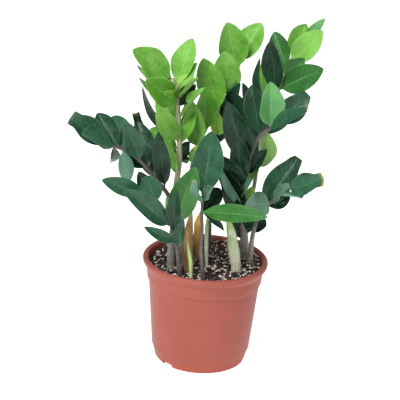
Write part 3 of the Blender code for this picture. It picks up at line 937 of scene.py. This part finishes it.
def cut_drains(pot, scale):
    """Drain holes through the floor and notches through the foot ring, where the frame's pot has them."""
    for i in range(DRAIN_HOLES):
        place = on_circle(DRAIN_CIRCLE * scale, 2.0 * math.pi * i / DRAIN_HOLES, FLOOR_UNDERSIDE)
        start_fresh()
        bpy.ops.mesh.primitive_cylinder_add(vertices=40, radius=DRAIN_RADIUS * scale, depth=0.02,
                                            location=place)
        subtract(pot, bpy.context.object)
    for i in range(NOTCHES):
        angle = FIRST_NOTCH + math.radians(360.0 * i / NOTCHES)
        place = on_circle(NOTCH_CIRCLE * scale, angle, 0.0)
        start_fresh()
        bpy.ops.mesh.primitive_cube_add(size=1.0, location=place, rotation=(0.0, 0.0, angle))
        notch = bpy.context.object
        notch.scale = NOTCH_SIZE
        bpy.ops.object.transform_apply(scale=True)
        apply_modifier(notch, "BEVEL", width=NOTCH_ROUNDING, segments=4)
        subtract(pot, notch)


SOIL_BOTTOM = 0.118  # what is lower stays hidden in the pot, so it isn't made
SOIL_SIDE_TOP = 0.125  # everything higher than this belongs to the soil's surface
SOIL_EDGE = 0.1345  # the edge of the frame's soil is higher than this all round


class ZZ_OT_soil(bpy.types.Operator):
    """Turns the soil and raises its lumps"""

    bl_idname = "zz.soil"
    bl_label = "Potting Soil"

    def execute(self, context):
        settings = context.scene.zz_soil
        level, slope_x, slope_y = soil_plane()
        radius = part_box("soil")[1].x - 0.0002
        top = [(radius * i / settings.rings, level) for i in range(settings.rings + 1)]
        side = [(radius - 0.0015, SOIL_BOTTOM), (0.0, SOIL_BOTTOM)]
        soil = turned(top + side, settings.segments)
        raise_lumps(soil, settings)
        points = points_of(soil.data)
        upper = points[:, 2] > SOIL_SIDE_TOP
        points[upper, 2] += slope_x * points[upper, 0] + slope_y * points[upper, 1]
        set_points(soil.data, points)
        only(soil)
        bpy.ops.object.shade_smooth()
        material = soil_finish("potting_soil_fine", (0.005, 0.003, 0.0025), (0.036, 0.019, 0.016))
        finished(soil, "soil_fine", material, ["soil"])
        return {"FINISHED"}


def soil_plane():
    """Height of the frame's soil at the pot's middle, and how it rises towards +X and +Y."""
    points = points_of(frame["nodes"]["soil"].data)
    reach = np.hypot(points[:, 0], points[:, 1])
    edge = points[(reach > reach.max() - 0.001) & (points[:, 2] > SOIL_EDGE)]
    terms = np.column_stack([np.ones(len(edge)), edge[:, 0], edge[:, 1]])
    return np.linalg.lstsq(terms, edge[:, 2], rcond=None)[0]


def raise_lumps(soil, settings):
    """Lumps of three sizes on the soil's top, by displacement with cloud textures."""
    group = soil.vertex_groups.new(name="top")
    tall = [v.index for v in soil.data.vertices if v.co.z > SOIL_SIDE_TOP]
    group.add(tall, 1.0, "REPLACE")
    for kind, size, share in (("large", 0.011, 1.0), ("small", 0.0038, 0.7), ("fine", 0.0017, 0.35)):
        texture = bpy.data.textures.new("soil_lumps_" + kind, "CLOUDS")
        texture.noise_scale = size
        texture.noise_depth = 2
        texture.noise_type = "HARD_NOISE"
        apply_modifier(soil, "DISPLACE", texture=texture, texture_coords="LOCAL", direction="Z",
                       mid_level=0.6, strength=settings.clod_height * share, vertex_group="top")


class ZZ_OT_soil_grains(bpy.types.Operator):
    """Strews perlite, bark and crumbs of peat on the soil"""

    bl_idname = "zz.soil_grains"
    bl_label = "Soil Grains"

    def execute(self, context):
        settings = context.scene.zz_soil
        plane = soil_plane()
        rng = np.random.default_rng(settings.seed)
        perlite = grain_finish("perlite", (0.55, 0.52, 0.47), (0.88, 0.87, 0.84), 900.0)
        bark = grain_finish("bark", (0.20, 0.11, 0.080), (0.85, 0.70, 0.58), 420.0)
        peat = grain_finish("peat", (0.012, 0.007, 0.006), (0.085, 0.048, 0.038), 500.0)
        strew("perlite_grains", settings.perlite, (0.7, 1.9), (0.7, 1.0, 1.0), perlite, rng, plane)
        strew("bark_chips", settings.bark, (1.4, 4.2), (0.35, 0.50, 1.0), bark, rng, plane)
        strew("peat_crumbs", settings.crumbs, (0.9, 2.6), (0.6, 0.8, 1.0), peat, rng, plane)
        return {"FINISHED"}


def strew(name, count, sizes, build, material, rng, plane):
    """Copies of one rough grain, each with its own size, turn and place on the soil, as one piece."""
    start_fresh()
    bpy.ops.mesh.primitive_ico_sphere_add(subdivisions=1, radius=1.0)
    master = bpy.context.object
    edit(master, "SELECT")
    bpy.ops.transform.vertex_random(offset=0.28, seed=count)
    leave()
    grains = []
    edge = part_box("soil")[1].x - 0.002
    while len(grains) < count:
        radius = edge * math.sqrt(rng.uniform(0.0, 1.0))
        angle = rng.uniform(0.0, 2.0 * math.pi)
        size = rng.uniform(*sizes) * MM * rng.uniform(0.6, 1.0)
        x, y = radius * math.cos(angle), radius * math.sin(angle)
        place = Vector((x, y, plane[0] + plane[1] * x + plane[2] * y))
        place.z += rng.uniform(-0.2, 0.7) * size
        turn = Matrix.Rotation(rng.uniform(0, 6.28), 4, "Z") @ Matrix.Rotation(rng.uniform(-0.6, 0.6), 4, "X")
        scale = Matrix.Diagonal((size * build[2], size * build[1], size * build[0], 1.0))
        grain = add_object(f"{name}_{len(grains)}", master.data.copy())
        grain.data.transform(Matrix.Translation(place) @ turn @ scale)
        grains.append(grain)
    bpy.data.objects.remove(master)
    start_fresh()
    for grain in grains:
        grain.select_set(True)
    bpy.context.view_layer.objects.active = grains[0]
    bpy.ops.object.join()
    finished(bpy.context.object, name, material)


class ZZ_OT_rhizomes(bpy.types.Operator):
    """Gives the rhizomes in the soil their skin"""

    bl_idname = "zz.rhizomes"
    bl_label = "Rhizomes"

    def execute(self, context):
        material = grain_finish("rhizome_skin_fine", (0.30, 0.20, 0.10), (0.55, 0.42, 0.25), 120.0)
        for node in ("rhizome_left", "rhizome_right"):
            frame["nodes"][node].data.materials.clear()
            frame["nodes"][node].data.materials.append(material)
        return {"FINISHED"}


STEMS = sorted(node[5:] for node in frame["nodes"] if node.startswith("stem_"))


def leaflet_nodes(frond):
    """A frond's leaflet nodes in order."""
    nodes = [n for n in frame["nodes"] if n.rsplit("_", 1)[0] == "leaflet_" + frond]
    return sorted(nodes, key=lambda n: int(n.rsplit("_", 1)[1]))


STEM_COLOURS = {
    # foot, higher up, flecks, and how many flecks
    "stem_olive": ((0.36, 0.33, 0.22), (0.32, 0.31, 0.19), (0.12, 0.11, 0.06), 0.5),
    "stem_purple": ((0.12, 0.10, 0.10), (0.065, 0.062, 0.060), (0.020, 0.018, 0.020), 0.7),
    "stem_pale_foot": ((0.36, 0.36, 0.30), (0.080, 0.070, 0.070), (0.022, 0.020, 0.022), 0.6),
}


class ZZ_OT_stems(bpy.types.Operator):
    """Makes the fronds' stems, a little thicker where a leaflet grows"""

    bl_idname = "zz.stems"
    bl_label = "Stems"

    def execute(self, context):
        materials = {name: stem_finish(name + "_fine", *looks) for name, looks in STEM_COLOURS.items()}
        for frond in STEMS:
            make_stem(frond, context.scene.zz_foliage, materials)
        return {"FINISHED"}


SHEATH_COLOURS = {
    # pale fibres, dark fibres, top
    "sheath_brown": ((0.42, 0.20, 0.07), (0.24, 0.085, 0.03), (0.50, 0.25, 0.06)),
    "sheath_yellow": ((0.62, 0.36, 0.08), (0.40, 0.17, 0.03), (0.66, 0.40, 0.05)),
    "sheath_pale": ((0.58, 0.60, 0.46), (0.40, 0.44, 0.27), (0.22, 0.36, 0.08)),
    "young_spear": ((0.52, 0.62, 0.34), (0.30, 0.48, 0.10), (0.22, 0.45, 0.04)),
}
# A sheath's ribs, and how far one edge stands over the other, as shares of its radius
RIBS = 9.0
RIB_HEIGHT = 0.035
OVERLAP = 0.08
EDGE_ANGLE = 2.2
SHEATHS = ("sheath_brown", "sheath_yellow", "sheath_pale", "sheath_green", "young_spear")


class ZZ_OT_sheaths(bpy.types.Operator):
    """Makes the sheaths at the stems' feet and the young spear"""

    bl_idname = "zz.sheaths"
    bl_label = "Sheaths and Spear"

    def execute(self, context):
        materials = {name: sheath_finish(name + "_fine", *looks) for name, looks in SHEATH_COLOURS.items()}
        materials["sheath_green"] = materials["sheath_pale"]
        for node in SHEATHS:
            line = Line(node)
            points, radii = line.smoothed(6)
            tube = model_tube(node + "_fine", points, radii, 28)
            rib_sheath(tube, line)
            smooth_shade(tube, 60.0)
            finished(tube, node + "_fine", materials[node], [node])
        return {"FINISHED"}


def rib_sheath(tube, line):
    """Raises lengthwise ribs on a sheath and lays one edge over the other."""
    points = points_of(tube.data)
    for i, point in enumerate(points):
        middle = line.nearest(point)
        out = point - middle
        radius = np.linalg.norm(out)
        if radius < 1e-5:
            continue
        angle = math.atan2(out[1], out[0])
        ribs = RIB_HEIGHT * math.cos(RIBS * angle)
        overlap = OVERLAP * (((angle + EDGE_ANGLE) % (2.0 * math.pi)) / (2.0 * math.pi) - 0.5)
        points[i] = middle + out * (1.0 + (ribs + overlap))
    set_points(tube.data, points)


class ZZ_OT_leaflets(bpy.types.Operator):
    """Makes each frond's leaflets, those of the frame and the smaller ones"""

    bl_idname = "zz.leaflets"
    bl_label = "Leaflets"

    def execute(self, context):
        settings = context.scene.zz_foliage
        rng = np.random.default_rng(settings.seed)
        master = model_blade(settings.blade_rows, settings.blade_columns)
        materials = {name: blade_finish(name) for name in BLADE_FINISHES}
        for frond in STEMS:
            line = Line("stem_" + frond)
            for node in leaflet_nodes(frond):
                blade = touching(blade_of(node, line), line)
                finish = OWN_FINISH.get(node, SLOT_FINISH[SLOTS[node]])
                habit = leaflet_habit(node, rng, calm=True)
                place_leaflet(master, blade, node + "_fine", materials[finish], habit,
                              rng.uniform(0.0, 1.0), settings.blade_thickness, [node])
            for i, (share, offset, width, turn, finish) in enumerate(SIDE_LEAFLETS.get(frond, [])):
                point, radius = line.at(share)
                tip = point + np.array(offset) * MM
                out = unit(tip - point)
                face = tip_face(out, math.radians(turn))
                blade = Blade(point + out * radius * 0.8, tip, face, width * MM)
                name = f"side_leaflet_{frond}_{i + 1}"
                habit = leaflet_habit(name, rng)
                place_leaflet(master, blade, name, materials[finish], habit,
                              rng.uniform(0.0, 1.0), settings.blade_thickness)
        bpy.data.objects.remove(master)
        return {"FINISHED"}


class ZZ_OT_stage(bpy.types.Operator):
    """Sets the pale floor, the soft studio light and the camera"""

    bl_idname = "zz.stage"
    bl_label = "Stage"

    def execute(self, context):
        settings = context.scene.zz_stage
        start_fresh()
        bpy.ops.mesh.primitive_plane_add(size=12.0, location=(0.0, 0.0, 0.0))
        floor = context.object
        floor.name = "floor"
        finish = Finish("studio_floor")
        glow = {"Emission Color": (1.0, 1.0, 1.0, 1.0), "Emission Strength": settings.floor_glow}
        floor.data.materials.append(finish.surface(tuple(settings.floor_colour), 0.9, fixed=glow))
        add_light("key_light", (-0.9, -1.5, 2.1), 1.0, settings.key_power)
        add_light("fill_light", (1.7, -1.1, 0.9), 1.4, settings.fill_power)
        add_light("back_light", (0.4, 1.6, 1.6), 1.2, settings.fill_power)
        world = bpy.data.worlds.new("studio")
        context.scene.world = world
        world.use_nodes = True
        background = world.node_tree.nodes["Background"]
        background.inputs["Color"].default_value = (1.0, 1.0, 1.0, 1.0)
        background.inputs["Strength"].default_value = settings.sky
        add_camera(context)
        context.scene.view_settings.view_transform = "Standard"
        return {"FINISHED"}


def add_light(name, place, size, power):
    light = bpy.data.lights.new(name, "AREA")
    light.size = size
    light.energy = power
    lamp = add_object(name, light)
    lamp.location = place
    aim = Vector((0.0, 0.0, 0.2)) - Vector(place)
    lamp.rotation_euler = aim.to_track_quat("-Z", "Y").to_euler()


CAMERA_DISTANCE = 1.5625
CAMERA_ELEVATION = math.radians(19.84)
CAMERA_ROLL = math.radians(3.55)
CAMERA_AIM = Vector((-0.01229, 0.0, 0.22705))


def add_camera(context):
    data = bpy.data.cameras.new("camera")
    data.lens = 105.0
    data.sensor_width = 36.0
    camera = add_object("camera", data)
    back = Vector((0.0, -math.cos(CAMERA_ELEVATION), math.sin(CAMERA_ELEVATION)))
    right = Vector((1.0, 0.0, 0.0))
    up = back.cross(right)
    across = right * math.cos(CAMERA_ROLL) + up * math.sin(CAMERA_ROLL)
    upright = back.cross(across)
    turn = Matrix((across, upright, back)).transposed()
    camera.matrix_world = Matrix.Translation(CAMERA_AIM + back * CAMERA_DISTANCE) @ turn.to_4x4()
    context.scene.camera = camera


class ZZ_PT_panel(bpy.types.Panel):
    """The plant's pieces, in the order in which they are made"""

    bl_label = "ZZ Plant"
    bl_space_type = "VIEW_3D"
    bl_region_type = "UI"
    bl_category = "ZZ Plant"

    def draw(self, context):
        for operator in OPERATORS:
            self.layout.operator(operator.bl_idname)


GROUPS = {
    "zz_foliage": FoliageSettings,
    "zz_pot": PotSettings,
    "zz_soil": SoilSettings,
    "zz_stage": StageSettings,
}
OPERATORS = [ZZ_OT_pot, ZZ_OT_soil, ZZ_OT_soil_grains, ZZ_OT_rhizomes, ZZ_OT_stems, ZZ_OT_sheaths,
             ZZ_OT_leaflets, ZZ_OT_stage]


def register():
    for name, group in GROUPS.items():
        bpy.utils.register_class(group)
        setattr(bpy.types.Scene, name, PointerProperty(type=group))
    for operator in OPERATORS:
        bpy.utils.register_class(operator)
    bpy.utils.register_class(ZZ_PT_panel)


def unregister():
    bpy.utils.unregister_class(ZZ_PT_panel)
    for operator in reversed(OPERATORS):
        bpy.utils.unregister_class(operator)
    for name, group in GROUPS.items():
        delattr(bpy.types.Scene, name)
        bpy.utils.unregister_class(group)


def main():
    register()
    for operator in OPERATORS:
        family, action = operator.bl_idname.split(".")
        getattr(getattr(bpy.ops, family), action)()


if __name__ == "__main__":
    main()
